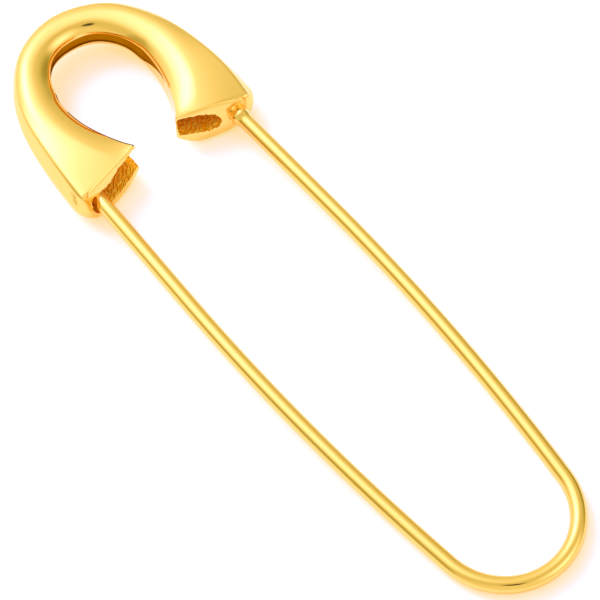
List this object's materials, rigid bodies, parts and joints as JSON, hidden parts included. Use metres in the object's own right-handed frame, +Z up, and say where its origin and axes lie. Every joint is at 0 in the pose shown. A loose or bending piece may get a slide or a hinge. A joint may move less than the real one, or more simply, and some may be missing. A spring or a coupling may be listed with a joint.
{
  "type": "safety pin brooch",
  "caption": "Gold safety pin brooch: a domed cast horseshoe head that holds a bowed spring wire with a round end loop, its free arm pointed and lying in an open catch.",
  "frame": {"origin": "middle of the footprint, on the surface that the pin lies on", "axes": "+X along the pin towards the round end loop, +Y towards the fixed arm, +Z up out of the domed side"},
  "size_m": [0.0728, 0.0208, 0.0041],
  "materials": {
    "head_gold": "polished gold plate, rough as cast inside the hollows",
    "wire_gold": "polished gold plate on spring wire"
  },
  "bodies": {
    "root": {"head": "head_gold", "pin_wire": "wire_gold"}
  },
  "joints": []
}
